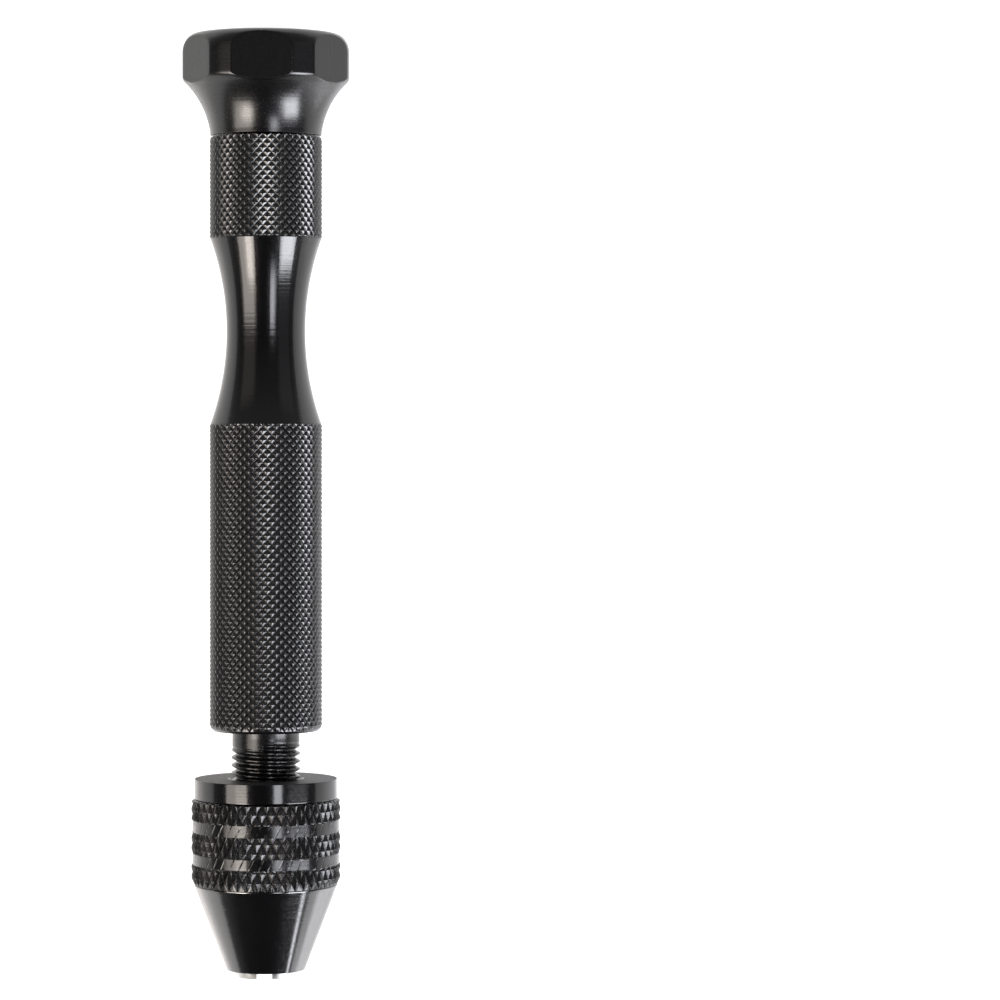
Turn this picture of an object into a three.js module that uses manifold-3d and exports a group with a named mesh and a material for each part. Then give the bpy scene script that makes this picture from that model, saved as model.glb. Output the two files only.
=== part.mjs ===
// Pin vise drill: a hand-turned chuck for small twist drills, on a two-grip aluminium handle.
// Units are millimetres. The tool lies on its side along Y, with the palm cap at +Y and the jaws
// at -Y, and rests on one flat of the hexagonal cap at z = 0. Places along the tool are stations:
// distances from the top of the cap, growing towards the jaw tips.

import * as THREE from 'three';
import { mergeVertices } from 'three/addons/utils/BufferGeometryUtils.js';
import Module from 'manifold-3d';

const wasm = await Module();
wasm.setup();

// ---------------------------------------------------------------- driving dimensions

const TOOL_LENGTH = 96;
const ROUND_SEGMENTS = 40;
const RUNNING_GAP = 0.05;
const MERGE_DISTANCE = 1e-5;
const CUT_MARGIN = 1;

// Facets of the curved surfaces.
const CAP_ROUNDING_STEPS = 5;
const SKIRT_STEPS = 8;
const WAIST_STEPS = 12;
const THRUST_BALL_SEGMENTS = [20, 14];
const BEARING_BALL_SEGMENTS = [10, 7];
const WIRE_STEPS = 36;
const WIRE_SEGMENTS = 5;
const FLAT_RING_SEGMENTS = 30;
const POCKET_SEGMENTS = 12;
const BORE_SEGMENTS = 24;

// Swivel cap: six milled flats over a round land, then a flared skirt.
const CAP_RADIUS = 8.5;
const CAP_FLAT_COUNT = 6;
const CAP_FLAT_APOTHEM = 7.93;
const CAP_TOP_RADIUS = 7.14;
const CAP_TOP_ROUNDING = 1.9;
const CAP_LAND_END = 4.65;
const SKIRT_END = 10.3;
const SKIRT_END_RADIUS = 5.68;
const SKIRT_CURVE_RADIUS = 9;
const SKIRT_LIP = 0.3;
const CAP_BORE_RADIUS = 3.6;
const CAP_BORE_FLOOR = 4.2;
const DRILL_POINT_HALF_ANGLE = THREE.MathUtils.degToRad(59);

// Thrust ball and wire snap ring of the swivel.
const THRUST_BALL_RADIUS = 1.5;
const CAP_RING_STATION = 7.4;
const CAP_RING_RADIUS = 3.42;
const CAP_RING_WIRE_RADIUS = 0.35;
const CAP_RING_OPENING = THREE.MathUtils.degToRad(24);
const CAP_GROOVE_HALF_WIDTH = 0.42;
const CAP_GROOVE_RADIUS = 3.86;
const SPIGOT_GROOVE_RADIUS = 3;

// Handle: spigot, upper grip, waist and lower grip.
const SPIGOT_RADIUS = 3.42;
const SPIGOT_START = 4.75;
const SPIGOT_SEAT_RADIUS = 1.2;
const HANDLE_START = 10.5;
const GRIP_RADIUS = 5.72;
const SMOOTH_RADIUS = 5.65;
const WAIST_START = 20.8;
const WAIST_END = 39.7;
const WAIST_RADIUS = 4;
const HANDLE_END = 70.95;
const GRIP_CHAMFER = 0.4;

// Threaded stud between handle and chuck, hollow for long drill shanks.
const STUD_RADIUS = 3.5;
const STUD_START = 57.5;
const STUD_END = 79.4;
const STUD_CHAMFER = 0.3;
const SHANK_BORE_RADIUS = 1.8;

// Chuck body: collar, bearing journal and screw nose.
const COLLAR_START = 75.85;
const COLLAR_END = 77.85;
const COLLAR_RADIUS = 7.25;
const COLLAR_CHAMFER = 0.25;
const COLLAR_COUNTERSINK = 0.35;
const JOURNAL_RADIUS = 5;
const JOURNAL_END = 81.6;
const SCREW_NOSE_RADIUS = 4.4;
const SCREW_NOSE_END = 84.5;
const SCREW_BORE_RADIUS = 2.55;

// Sleeve: three knurled bands with two plain bands between them.
const SLEEVE_START = 77.95;
const SLEEVE_END = 86.6;
const SLEEVE_RADIUS = 7.58;
const SLEEVE_PLAIN_RADIUS = 7.45;
const PLAIN_BANDS = [[80, 81.2], [83.4, 84.5]];
const BAND_STEP = 0.1;
const SLEEVE_LIP_END = 78.85;
const SLEEVE_LIP_RADIUS = 5.1;
const CHAMBER_RADIUS = 6.35;
const NOSE_SOCKET_START = 83.5;
const NOSE_SOCKET_RADIUS = 6.8;

// Nose cone, screwed into the sleeve. Its inner cone drives the jaws.
const NOSE_END = 95.3;
const NOSE_BASE_RADIUS = 7.25;
const NOSE_TIP_RADIUS = 4;
const NOSE_MOUTH_RADIUS = 3.45;
const NOSE_TAIL_BORE_RADIUS = 6.2;
const NOSE_EDGE = 0.15;

// Bearing of the sleeve on the chuck body.
const BALL_COUNT = 12;
const BALL_RADIUS = 0.5;
const BALL_CIRCLE_RADIUS = 5.72;
const BALL_STATION = 79.42;
const CAGE_HALF_THICKNESS = 0.2;
const CAGE_INNER_RADIUS = 5.08;
const CAGE_OUTER_RADIUS = 6.3;
const CAGE_POCKET_RADIUS = 0.56;
const RACE_START = 79.98;
const RACE_END = 80.48;
const RACE_OUTER_RADIUS = 6.25;
const SLEEVE_RING_START = 80.55;
const SLEEVE_RING_END = 81.15;
const SLEEVE_RING_INNER_RADIUS = 4.66;
const SLEEVE_RING_OUTER_RADIUS = 5.9;
const SLEEVE_RING_OPENING = THREE.MathUtils.degToRad(40);
const SLEEVE_GROOVE_RADIUS = 4.6;
const RING_GROOVE_GAP = 0.05;

// Jaw carrier: a hollow screw with a disc that has three T-slots.
const CARRIER_STEM_START = 81.4;
const CARRIER_STEM_RADIUS = 2.45;
const CARRIER_DISC_START = 86.5;
const CARRIER_DISC_END = 89.3;
const CARRIER_DISC_RADIUS = 5.75;
const CARRIER_FACE_RADIUS = 4.7;
const CARRIER_BORE_RADIUS = 1.75;
const SLOT_NECK_END = 88.5;
const SLOT_HEAD_END = 87.5;
const SLOT_NECK_HALF_WIDTH = 0.8;
const SLOT_HEAD_HALF_WIDTH = 1.4;

// Jaws: three wedges that meet at the axis, drawn closed and then set to the resting opening.
const JAW_COUNT = 3;
const FIRST_JAW_ANGLE = THREE.MathUtils.degToRad(30);
const JAW_START = 89.4;
const JAW_CLOSED_RADIUS = 0.15;
const JAW_REST_RADIUS = 1;
const JAW_LAND_HALF_WIDTH = 0.15;
const JAW_REAR_RADIUS = 4.6;
const JAW_TIP_CHAMFER = 0.06;
const TENON_INNER_RADIUS = 1.05;
const TENON_OUTER_RADIUS = 3.6;
const TENON_NECK_HALF_WIDTH = 0.7;
const TENON_HEAD_HALF_WIDTH = 1.3;

// ---------------------------------------------------------------- derived dimensions

const NOSE_SLOPE = (NOSE_BASE_RADIUS - NOSE_TIP_RADIUS) / (NOSE_END - SLEEVE_END);
const JAW_OPENING = JAW_REST_RADIUS - JAW_CLOSED_RADIUS;
const JAW_SETBACK = JAW_OPENING / NOSE_SLOPE;
const MIDDLE = TOOL_LENGTH / 2;

// ---------------------------------------------------------------- colours

const anodised = { color: 0x17171a, roughness: 0.28, metalness: 0.85 };
const knurledAnodised = { color: 0x131315, roughness: 0.42, metalness: 0.8 };
const blackenedSteel = { color: 0x141416, roughness: 0.3, metalness: 0.9 };
const brightSteel = { color: 0xc9c6c0, roughness: 0.25, metalness: 1 };
const brass = { color: 0xb08d4a, roughness: 0.4, metalness: 1 };

// ---------------------------------------------------------------- helpers

// Height along the tool's Y axis of a station.
function at(station) {
  return MIDDLE - station;
}

// Round solid turned about the tool's axis. The profile holds [station, radius] pairs: along the
// outside from the cap towards the jaws, then back along the inside, if there is one.
function turned(profile, segments = ROUND_SEGMENTS) {
  const points = profile.map(([station, radius]) => new THREE.Vector2(radius, at(station)));
  return new THREE.LatheGeometry(points.reverse(), segments);
}

// Washer-like solid between two stations.
function ring(start, end, inner, outer) {
  return turned([[start, inner], [start, outer], [end, outer], [end, inner], [start, inner]]);
}

// Solid cylinder between two stations.
function plug(start, end, radius, segments) {
  return turned([[start, 0], [start, radius], [end, radius], [end, 0]], segments);
}

// Points of a circular arc from [s0, r0] to [s1, r1] that sags towards the tool's axis.
function hollowArc([s0, r0], [s1, r1], arcRadius, steps) {
  const half = Math.hypot(s1 - s0, r1 - r0) / 2;
  const rise = Math.sqrt(arcRadius ** 2 - half ** 2);
  const lean = Math.atan2(r1 - r0, s1 - s0);
  const centre = [(s0 + s1) / 2 - rise * Math.sin(lean), (r0 + r1) / 2 + rise * Math.cos(lean)];
  const sweep = 2 * Math.asin(half / arcRadius);
  const first = Math.atan2(r0 - centre[1], s0 - centre[0]);
  return Array.from({ length: steps + 1 }, (_, i) => {
    const angle = first + (sweep * i) / steps;
    return [centre[0] + arcRadius * Math.cos(angle), centre[1] + arcRadius * Math.sin(angle)];
  });
}

// Radius of the circle through the ends and the lowest point of a hollow of the given length.
function sagRadius(length, sag) {
  return ((length / 2) ** 2 + sag ** 2) / (2 * sag);
}

function toManifold(geometry) {
  const bare = geometry.clone();
  bare.deleteAttribute('normal');
  bare.deleteAttribute('uv');
  const merged = mergeVertices(bare, MERGE_DISTANCE);
  const triangles = [];
  for (let i = 0; i < merged.index.count; i += 3) {
    const [a, b, c] = [0, 1, 2].map((k) => merged.index.getX(i + k));
    if (a !== b && b !== c && c !== a) triangles.push(a, b, c);
  }
  const mesh = new wasm.Mesh({
    numProp: 3,
    vertProperties: new Float32Array(merged.attributes.position.array),
    triVerts: new Uint32Array(triangles),
  });
  return new wasm.Manifold(mesh);
}

function fromManifold(solid) {
  const mesh = solid.getMesh();
  const geometry = new THREE.BufferGeometry();
  geometry.setAttribute('position', new THREE.BufferAttribute(mesh.vertProperties, 3));
  geometry.setIndex(new THREE.BufferAttribute(mesh.triVerts, 1));
  geometry.computeVertexNormals();
  return geometry;
}

function cut(body, ...tools) {
  return fromManifold(tools.reduce((solid, tool) => solid.subtract(toManifold(tool)), toManifold(body)));
}

function join(body, ...others) {
  return fromManifold(others.reduce((solid, other) => solid.add(toManifold(other)), toManifold(body)));
}

function common(a, b) {
  return fromManifold(toManifold(a).intersect(toManifold(b)));
}

// Block between two stations, radially from u0 to u1 along +X and as wide as twice halfWidth.
function radialBlock(start, end, u0, u1, halfWidth) {
  const block = new THREE.BoxGeometry(u1 - u0, end - start, 2 * halfWidth);
  return block.translate((u0 + u1) / 2, at((start + end) / 2), 0);
}

// ---------------------------------------------------------------- swivel cap

function capOutline() {
  const top = Array.from({ length: CAP_ROUNDING_STEPS + 1 }, (_, i) => {
    const angle = (i / CAP_ROUNDING_STEPS) * (Math.PI / 2);
    const bulge = (CAP_RADIUS - CAP_TOP_RADIUS) * Math.sin(angle);
    return [CAP_TOP_ROUNDING * (1 - Math.cos(angle)), CAP_TOP_RADIUS + bulge];
  });
  const land = [CAP_LAND_END, CAP_RADIUS];
  const skirtFoot = [SKIRT_END - SKIRT_LIP, SKIRT_END_RADIUS];
  const skirt = hollowArc(land, skirtFoot, SKIRT_CURVE_RADIUS, SKIRT_STEPS);
  return [[0, 0], ...top, ...skirt, [SKIRT_END, SKIRT_END_RADIUS]];
}

function capBore() {
  const point = CAP_BORE_FLOOR - CAP_BORE_RADIUS / Math.tan(DRILL_POINT_HALF_ANGLE);
  return [
    [SKIRT_END, CAP_BORE_RADIUS],
    [CAP_RING_STATION + CAP_GROOVE_HALF_WIDTH, CAP_BORE_RADIUS],
    [CAP_RING_STATION + CAP_GROOVE_HALF_WIDTH, CAP_GROOVE_RADIUS],
    [CAP_RING_STATION - CAP_GROOVE_HALF_WIDTH, CAP_GROOVE_RADIUS],
    [CAP_RING_STATION - CAP_GROOVE_HALF_WIDTH, CAP_BORE_RADIUS],
    [CAP_BORE_FLOOR, CAP_BORE_RADIUS],
    [point, 0],
  ];
}

function swivelCap() {
  const halfSector = Math.PI / CAP_FLAT_COUNT;
  const corner = CAP_FLAT_APOTHEM / Math.cos(halfSector);
  const hexagon = new THREE.CylinderGeometry(corner, corner, TOOL_LENGTH * 2, CAP_FLAT_COUNT);
  hexagon.rotateY(halfSector);
  return common(turned([...capOutline(), ...capBore()]), hexagon);
}

// The ball sits in the drill point of the cap's bore and in the centre hole of the spigot.
function capThrustBall() {
  const point = CAP_BORE_FLOOR - CAP_BORE_RADIUS / Math.tan(DRILL_POINT_HALF_ANGLE);
  const station = point + (THRUST_BALL_RADIUS + RUNNING_GAP / 2) / Math.sin(DRILL_POINT_HALF_ANGLE);
  const ball = new THREE.SphereGeometry(THRUST_BALL_RADIUS, ...THRUST_BALL_SEGMENTS);
  return ball.translate(0, at(station), 0);
}

// Open ring of round wire, half in the spigot's groove and half in the cap's.
function capSnapRing() {
  const arc = new THREE.Curve();
  arc.getPoint = (t) => {
    const angle = CAP_RING_OPENING / 2 + t * (2 * Math.PI - CAP_RING_OPENING);
    return new THREE.Vector3(Math.cos(angle), 0, Math.sin(angle)).multiplyScalar(CAP_RING_RADIUS);
  };
  const section = new THREE.Shape().absarc(0, 0, CAP_RING_WIRE_RADIUS, 0, 2 * Math.PI);
  const path = { extrudePath: arc, steps: WIRE_STEPS, curveSegments: WIRE_SEGMENTS };
  const wire = new THREE.ExtrudeGeometry(section, path);
  return wire.translate(0, at(CAP_RING_STATION), 0);
}

// ---------------------------------------------------------------- handle and stud

function handle() {
  const waistRadius = sagRadius(WAIST_END - WAIST_START, SMOOTH_RADIUS - WAIST_RADIUS);
  const waist = hollowArc([WAIST_START, SMOOTH_RADIUS], [WAIST_END, SMOOTH_RADIUS], waistRadius,
    WAIST_STEPS);
  const grooveStart = CAP_RING_STATION - CAP_GROOVE_HALF_WIDTH;
  const grooveEnd = CAP_RING_STATION + CAP_GROOVE_HALF_WIDTH;
  const socketRadius = STUD_RADIUS + RUNNING_GAP;
  const socketStart = STUD_START - GRIP_CHAMFER;
  return turned([
    [SPIGOT_START + SPIGOT_SEAT_RADIUS, 0],
    [SPIGOT_START, SPIGOT_SEAT_RADIUS],
    [SPIGOT_START, SPIGOT_RADIUS],
    [grooveStart, SPIGOT_RADIUS],
    [grooveStart, SPIGOT_GROOVE_RADIUS],
    [grooveEnd, SPIGOT_GROOVE_RADIUS],
    [grooveEnd, SPIGOT_RADIUS],
    [HANDLE_START, SPIGOT_RADIUS],
    [HANDLE_START, GRIP_RADIUS],
    [WAIST_START, GRIP_RADIUS],
    ...waist,
    [WAIST_END, GRIP_RADIUS],
    [HANDLE_END - GRIP_CHAMFER, GRIP_RADIUS],
    [HANDLE_END, GRIP_RADIUS - GRIP_CHAMFER],
    [HANDLE_END, socketRadius],
    [socketStart, socketRadius],
    [socketStart - socketRadius / Math.tan(DRILL_POINT_HALF_ANGLE), 0],
  ]);
}

function threadedStud() {
  return turned([
    [STUD_START, SHANK_BORE_RADIUS],
    [STUD_START, STUD_RADIUS - STUD_CHAMFER],
    [STUD_START + STUD_CHAMFER, STUD_RADIUS],
    [STUD_END - STUD_CHAMFER, STUD_RADIUS],
    [STUD_END, STUD_RADIUS - STUD_CHAMFER],
    [STUD_END, SHANK_BORE_RADIUS],
    [STUD_START, SHANK_BORE_RADIUS],
  ]);
}

// ---------------------------------------------------------------- chuck

function chuckBody() {
  const threadRadius = STUD_RADIUS + RUNNING_GAP;
  const threadEnd = STUD_END + RUNNING_GAP;
  const grooveStart = SLEEVE_RING_START - RING_GROOVE_GAP;
  const grooveEnd = SLEEVE_RING_END + RING_GROOVE_GAP;
  return turned([
    [COLLAR_START, threadRadius + COLLAR_COUNTERSINK],
    [COLLAR_START, COLLAR_RADIUS - COLLAR_CHAMFER],
    [COLLAR_START + COLLAR_CHAMFER, COLLAR_RADIUS],
    [COLLAR_END - COLLAR_CHAMFER, COLLAR_RADIUS],
    [COLLAR_END, COLLAR_RADIUS - COLLAR_CHAMFER],
    [COLLAR_END, JOURNAL_RADIUS],
    [grooveStart, JOURNAL_RADIUS],
    [grooveStart, SLEEVE_GROOVE_RADIUS],
    [grooveEnd, SLEEVE_GROOVE_RADIUS],
    [grooveEnd, JOURNAL_RADIUS],
    [JOURNAL_END, JOURNAL_RADIUS],
    [JOURNAL_END, SCREW_NOSE_RADIUS],
    [SCREW_NOSE_END, SCREW_NOSE_RADIUS],
    [SCREW_NOSE_END, SCREW_BORE_RADIUS],
    [threadEnd, SCREW_BORE_RADIUS],
    [threadEnd, threadRadius],
    [COLLAR_START + COLLAR_COUNTERSINK, threadRadius],
    [COLLAR_START, threadRadius + COLLAR_COUNTERSINK],
  ]);
}

function chuckSleeve() {
  const bands = PLAIN_BANDS.flatMap(([start, end]) => [
    [start, SLEEVE_RADIUS],
    [start + BAND_STEP, SLEEVE_PLAIN_RADIUS],
    [end - BAND_STEP, SLEEVE_PLAIN_RADIUS],
    [end, SLEEVE_RADIUS],
  ]);
  const chamfer = SLEEVE_RADIUS - NOSE_BASE_RADIUS;
  return turned([
    [SLEEVE_START, SLEEVE_LIP_RADIUS],
    [SLEEVE_START, NOSE_BASE_RADIUS],
    [SLEEVE_START + chamfer, SLEEVE_RADIUS],
    ...bands,
    [SLEEVE_END - chamfer, SLEEVE_RADIUS],
    [SLEEVE_END, NOSE_BASE_RADIUS],
    [SLEEVE_END, NOSE_SOCKET_RADIUS],
    [NOSE_SOCKET_START, NOSE_SOCKET_RADIUS],
    [NOSE_SOCKET_START, CHAMBER_RADIUS],
    [SLEEVE_LIP_END, CHAMBER_RADIUS],
    [SLEEVE_LIP_END, SLEEVE_LIP_RADIUS],
    [SLEEVE_START, SLEEVE_LIP_RADIUS],
  ]);
}

// Station where the inner cone reaches the given radius.
function innerConeStation(radius) {
  return NOSE_END - (radius - NOSE_MOUTH_RADIUS) / NOSE_SLOPE;
}

function chuckNoseCone() {
  const seat = SLEEVE_END + RUNNING_GAP;
  const tailStart = NOSE_SOCKET_START + RUNNING_GAP;
  const tailRadius = NOSE_SOCKET_RADIUS - RUNNING_GAP;
  return turned([
    [tailStart, NOSE_TAIL_BORE_RADIUS],
    [tailStart, tailRadius],
    [seat, tailRadius],
    [seat, NOSE_BASE_RADIUS - NOSE_EDGE],
    [seat + NOSE_EDGE, NOSE_BASE_RADIUS],
    [NOSE_END - NOSE_EDGE, NOSE_TIP_RADIUS],
    [NOSE_END, NOSE_TIP_RADIUS - NOSE_EDGE],
    [NOSE_END, NOSE_MOUTH_RADIUS],
    [innerConeStation(NOSE_TAIL_BORE_RADIUS), NOSE_TAIL_BORE_RADIUS],
    [tailStart, NOSE_TAIL_BORE_RADIUS],
  ]);
}

function ballAngle(index) {
  return (2 * Math.PI * index) / BALL_COUNT;
}

function ballCage() {
  const plate = ring(BALL_STATION - CAGE_HALF_THICKNESS, BALL_STATION + CAGE_HALF_THICKNESS,
    CAGE_INNER_RADIUS, CAGE_OUTER_RADIUS);
  const pockets = Array.from({ length: BALL_COUNT }, (_, i) => {
    const pocket = new THREE.CylinderGeometry(CAGE_POCKET_RADIUS, CAGE_POCKET_RADIUS,
      2 * CUT_MARGIN, POCKET_SEGMENTS);
    return pocket.translate(BALL_CIRCLE_RADIUS, at(BALL_STATION), 0).rotateY(ballAngle(i));
  });
  return cut(plate, ...pockets);
}

function bearingBall(index) {
  const ball = new THREE.SphereGeometry(BALL_RADIUS, ...BEARING_BALL_SEGMENTS);
  return ball.translate(BALL_CIRCLE_RADIUS, at(BALL_STATION), 0).rotateY(ballAngle(index));
}

function raceWasher() {
  return ring(RACE_START, RACE_END, JOURNAL_RADIUS + RUNNING_GAP, RACE_OUTER_RADIUS);
}

// Open flat ring in the groove of the chuck body's journal.
function sleeveSnapRing() {
  const [from, to] = [SLEEVE_RING_OPENING / 2, 2 * Math.PI - SLEEVE_RING_OPENING / 2];
  const outline = new THREE.Shape();
  outline.absarc(0, 0, SLEEVE_RING_OUTER_RADIUS, from, to, false);
  outline.absarc(0, 0, SLEEVE_RING_INNER_RADIUS, to, from, true);
  const depth = SLEEVE_RING_END - SLEEVE_RING_START;
  const options = { depth, bevelEnabled: false, curveSegments: FLAT_RING_SEGMENTS };
  const flat = new THREE.ExtrudeGeometry(outline, options);
  return flat.rotateX(Math.PI / 2).translate(0, at(SLEEVE_RING_START), 0);
}

function jawAngle(index) {
  return FIRST_JAW_ANGLE + (2 * Math.PI * index) / JAW_COUNT;
}

// One T-slot of the carrier along +X, open at the disc's rim and front face.
function carrierSlot() {
  const reach = CARRIER_DISC_RADIUS + CUT_MARGIN;
  const front = CARRIER_DISC_END + CUT_MARGIN;
  return join(
    radialBlock(SLOT_HEAD_END, SLOT_NECK_END, 0, reach, SLOT_HEAD_HALF_WIDTH),
    radialBlock(SLOT_HEAD_END, front, 0, reach, SLOT_NECK_HALF_WIDTH),
  );
}

function jawCarrier() {
  const blank = turned([
    [CARRIER_STEM_START, 0],
    [CARRIER_STEM_START, CARRIER_STEM_RADIUS],
    [CARRIER_DISC_START, CARRIER_STEM_RADIUS],
    [CARRIER_DISC_START, CARRIER_DISC_RADIUS],
    [CARRIER_DISC_END, CARRIER_FACE_RADIUS],
    [CARRIER_DISC_END, 0],
  ]);
  const slots = Array.from({ length: JAW_COUNT }, (_, i) => carrierSlot().rotateY(-jawAngle(i)));
  const bore = plug(CARRIER_STEM_START - CUT_MARGIN, CARRIER_DISC_END + CUT_MARGIN,
    CARRIER_BORE_RADIUS, BORE_SEGMENTS);
  return cut(blank, bore, ...slots);
}

// Cross-section of one jaw: a 120 degree wedge with a narrow gripping land at its point.
function jawSection() {
  const reach = NOSE_BASE_RADIUS;
  const flank = reach * Math.tan(Math.PI / 3);
  const shape = new THREE.Shape();
  shape.moveTo(JAW_CLOSED_RADIUS, -JAW_LAND_HALF_WIDTH);
  shape.lineTo(JAW_CLOSED_RADIUS + reach, -JAW_LAND_HALF_WIDTH - flank);
  shape.lineTo(JAW_CLOSED_RADIUS + reach, JAW_LAND_HALF_WIDTH + flank);
  shape.lineTo(JAW_CLOSED_RADIUS, JAW_LAND_HALF_WIDTH);
  shape.closePath();
  return shape;
}

// One jaw along +X. It is drawn closed, where its back fits the inner cone, and set back along
// the cone to the opening at rest.
function jaw() {
  const start = JAW_START + JAW_SETBACK;
  const end = TOOL_LENGTH + JAW_SETBACK;
  const wedge = new THREE.ExtrudeGeometry(jawSection(), { depth: end - start, bevelEnabled: false });
  wedge.rotateX(Math.PI / 2).translate(0, at(start), 0);
  const backAt = (station) => (NOSE_END - station) * NOSE_SLOPE + NOSE_MOUTH_RADIUS - RUNNING_GAP;
  const tip = backAt(end);
  const back = turned([
    [start, 0],
    [start, JAW_REAR_RADIUS],
    [innerConeStation(JAW_REAR_RADIUS + RUNNING_GAP), JAW_REAR_RADIUS],
    [end - JAW_TIP_CHAMFER, backAt(end - JAW_TIP_CHAMFER)],
    [end, tip - JAW_TIP_CHAMFER],
    [end, 0],
  ]);
  const slack = SLOT_NECK_HALF_WIDTH - TENON_NECK_HALF_WIDTH;
  const headStart = SLOT_HEAD_END + slack + JAW_SETBACK;
  const headEnd = SLOT_NECK_END - slack + JAW_SETBACK;
  const neck = radialBlock(headStart, start + slack, TENON_INNER_RADIUS, TENON_OUTER_RADIUS,
    TENON_NECK_HALF_WIDTH);
  const head = radialBlock(headStart, headEnd, TENON_INNER_RADIUS, TENON_OUTER_RADIUS,
    TENON_HEAD_HALF_WIDTH);
  return join(common(wedge, back), neck, head).translate(JAW_OPENING, JAW_SETBACK, 0);
}

// ---------------------------------------------------------------- assembly

const tool = new THREE.Group();
tool.position.z = CAP_FLAT_APOTHEM;

function add(name, geometry, look, turn = 0) {
  const mesh = new THREE.Mesh(geometry, new THREE.MeshStandardMaterial(look));
  mesh.name = name;
  mesh.rotation.y = turn;
  tool.add(mesh);
}

add('swivel_cap', swivelCap(), anodised);
add('cap_thrust_ball', capThrustBall(), brightSteel);
add('cap_snap_ring', capSnapRing(), brightSteel);
add('handle', handle(), knurledAnodised);
add('threaded_stud', threadedStud(), blackenedSteel);
add('chuck_body', chuckBody(), blackenedSteel);
add('chuck_sleeve', chuckSleeve(), blackenedSteel);
add('chuck_nose_cone', chuckNoseCone(), blackenedSteel);
add('ball_cage', ballCage(), brass);
add('race_washer', raceWasher(), brightSteel);
add('sleeve_snap_ring', sleeveSnapRing(), brightSteel);
add('jaw_carrier', jawCarrier(), brightSteel);
for (let i = 0; i < JAW_COUNT; i += 1) {
  add(`jaw_${i + 1}`, jaw(), brightSteel, -jawAngle(i));
}
for (let i = 0; i < BALL_COUNT; i += 1) {
  add(`bearing_ball_${String(i + 1).padStart(2, '0')}`, bearingBall(i), brightSteel);
}

const pinVise = new THREE.Group();
pinVise.add(tool);

export default pinVise;
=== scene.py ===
"""Looks of the pin vise drill: detailed meshes, materials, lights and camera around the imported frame.

Lengths in the sections below are millimetres and become metres in one place, when a mesh is made.
The tool lies along Y. Places along it are stations, distances from the top of the cap.
"""

import math

import bmesh
import bpy
from mathutils import Matrix, Vector


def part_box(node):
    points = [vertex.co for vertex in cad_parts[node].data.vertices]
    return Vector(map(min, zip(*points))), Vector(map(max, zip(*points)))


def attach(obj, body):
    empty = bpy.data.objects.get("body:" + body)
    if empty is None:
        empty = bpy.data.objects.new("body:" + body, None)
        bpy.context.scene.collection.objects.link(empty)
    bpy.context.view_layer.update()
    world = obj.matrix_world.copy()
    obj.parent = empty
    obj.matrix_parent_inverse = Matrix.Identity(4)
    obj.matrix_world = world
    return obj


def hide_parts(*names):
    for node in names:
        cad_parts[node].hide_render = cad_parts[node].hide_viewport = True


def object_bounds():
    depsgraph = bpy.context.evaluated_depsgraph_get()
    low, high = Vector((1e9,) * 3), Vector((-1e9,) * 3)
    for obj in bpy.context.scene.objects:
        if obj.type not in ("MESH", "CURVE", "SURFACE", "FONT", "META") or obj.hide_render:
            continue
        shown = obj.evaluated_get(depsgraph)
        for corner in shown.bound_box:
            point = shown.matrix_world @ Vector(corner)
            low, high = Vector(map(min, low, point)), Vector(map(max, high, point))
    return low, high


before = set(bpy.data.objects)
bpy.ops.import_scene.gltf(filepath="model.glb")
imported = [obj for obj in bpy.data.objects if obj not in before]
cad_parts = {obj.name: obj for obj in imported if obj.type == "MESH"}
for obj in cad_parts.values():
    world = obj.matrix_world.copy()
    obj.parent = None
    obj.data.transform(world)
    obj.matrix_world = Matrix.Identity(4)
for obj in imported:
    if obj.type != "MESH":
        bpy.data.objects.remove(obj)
cad_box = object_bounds()

# ---------------------------------------------------------------- sizes

MM = 0.001


def box_mm(node):
    """Lowest and highest corner of a CAD node, in millimetres."""
    return [[value / MM for value in corner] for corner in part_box(node)]


CAP_LOW, CAP_HIGH = box_mm("swivel_cap")
HANDLE_LOW, HANDLE_HIGH = box_mm("handle")
STUD_LOW, STUD_HIGH = box_mm("threaded_stud")
BODY_LOW, BODY_HIGH = box_mm("chuck_body")
SLEEVE_LOW, SLEEVE_HIGH = box_mm("chuck_sleeve")
NOSE_LOW, NOSE_HIGH = box_mm("chuck_nose_cone")
JAW_LOW, _ = box_mm("jaw_1")

TOP = CAP_HIGH[1]
AXIS_X = (CAP_LOW[0] + CAP_HIGH[0]) / 2
AXIS_Z = (CAP_LOW[2] + CAP_HIGH[2]) / 2

# Swivel cap.
CAP_RADIUS = (CAP_HIGH[0] - CAP_LOW[0]) / 2
CAP_APOTHEM = (CAP_HIGH[2] - CAP_LOW[2]) / 2
CAP_END = TOP - CAP_LOW[1]
CAP_TOP_RADIUS = 7.14
CAP_TOP_ROUNDING = 1.9
CAP_LAND_END = 4.65
CAP_CORNER_ROUNDING = 0.3
CAP_BORE_RADIUS = 3.6
CAP_BORE_FLOOR = 4.2
CAP_BORE_POINT = 2.04
CAP_GROOVE_RADIUS = 3.86
CAP_GROOVE = (6.98, 7.82)
SKIRT_RADIUS = 5.68
SKIRT_CURVE = 9.0
SKIRT_LIP = 0.3
FLAT_COUNT = 6
EDGE_SOFTNESS = 0.05

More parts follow.
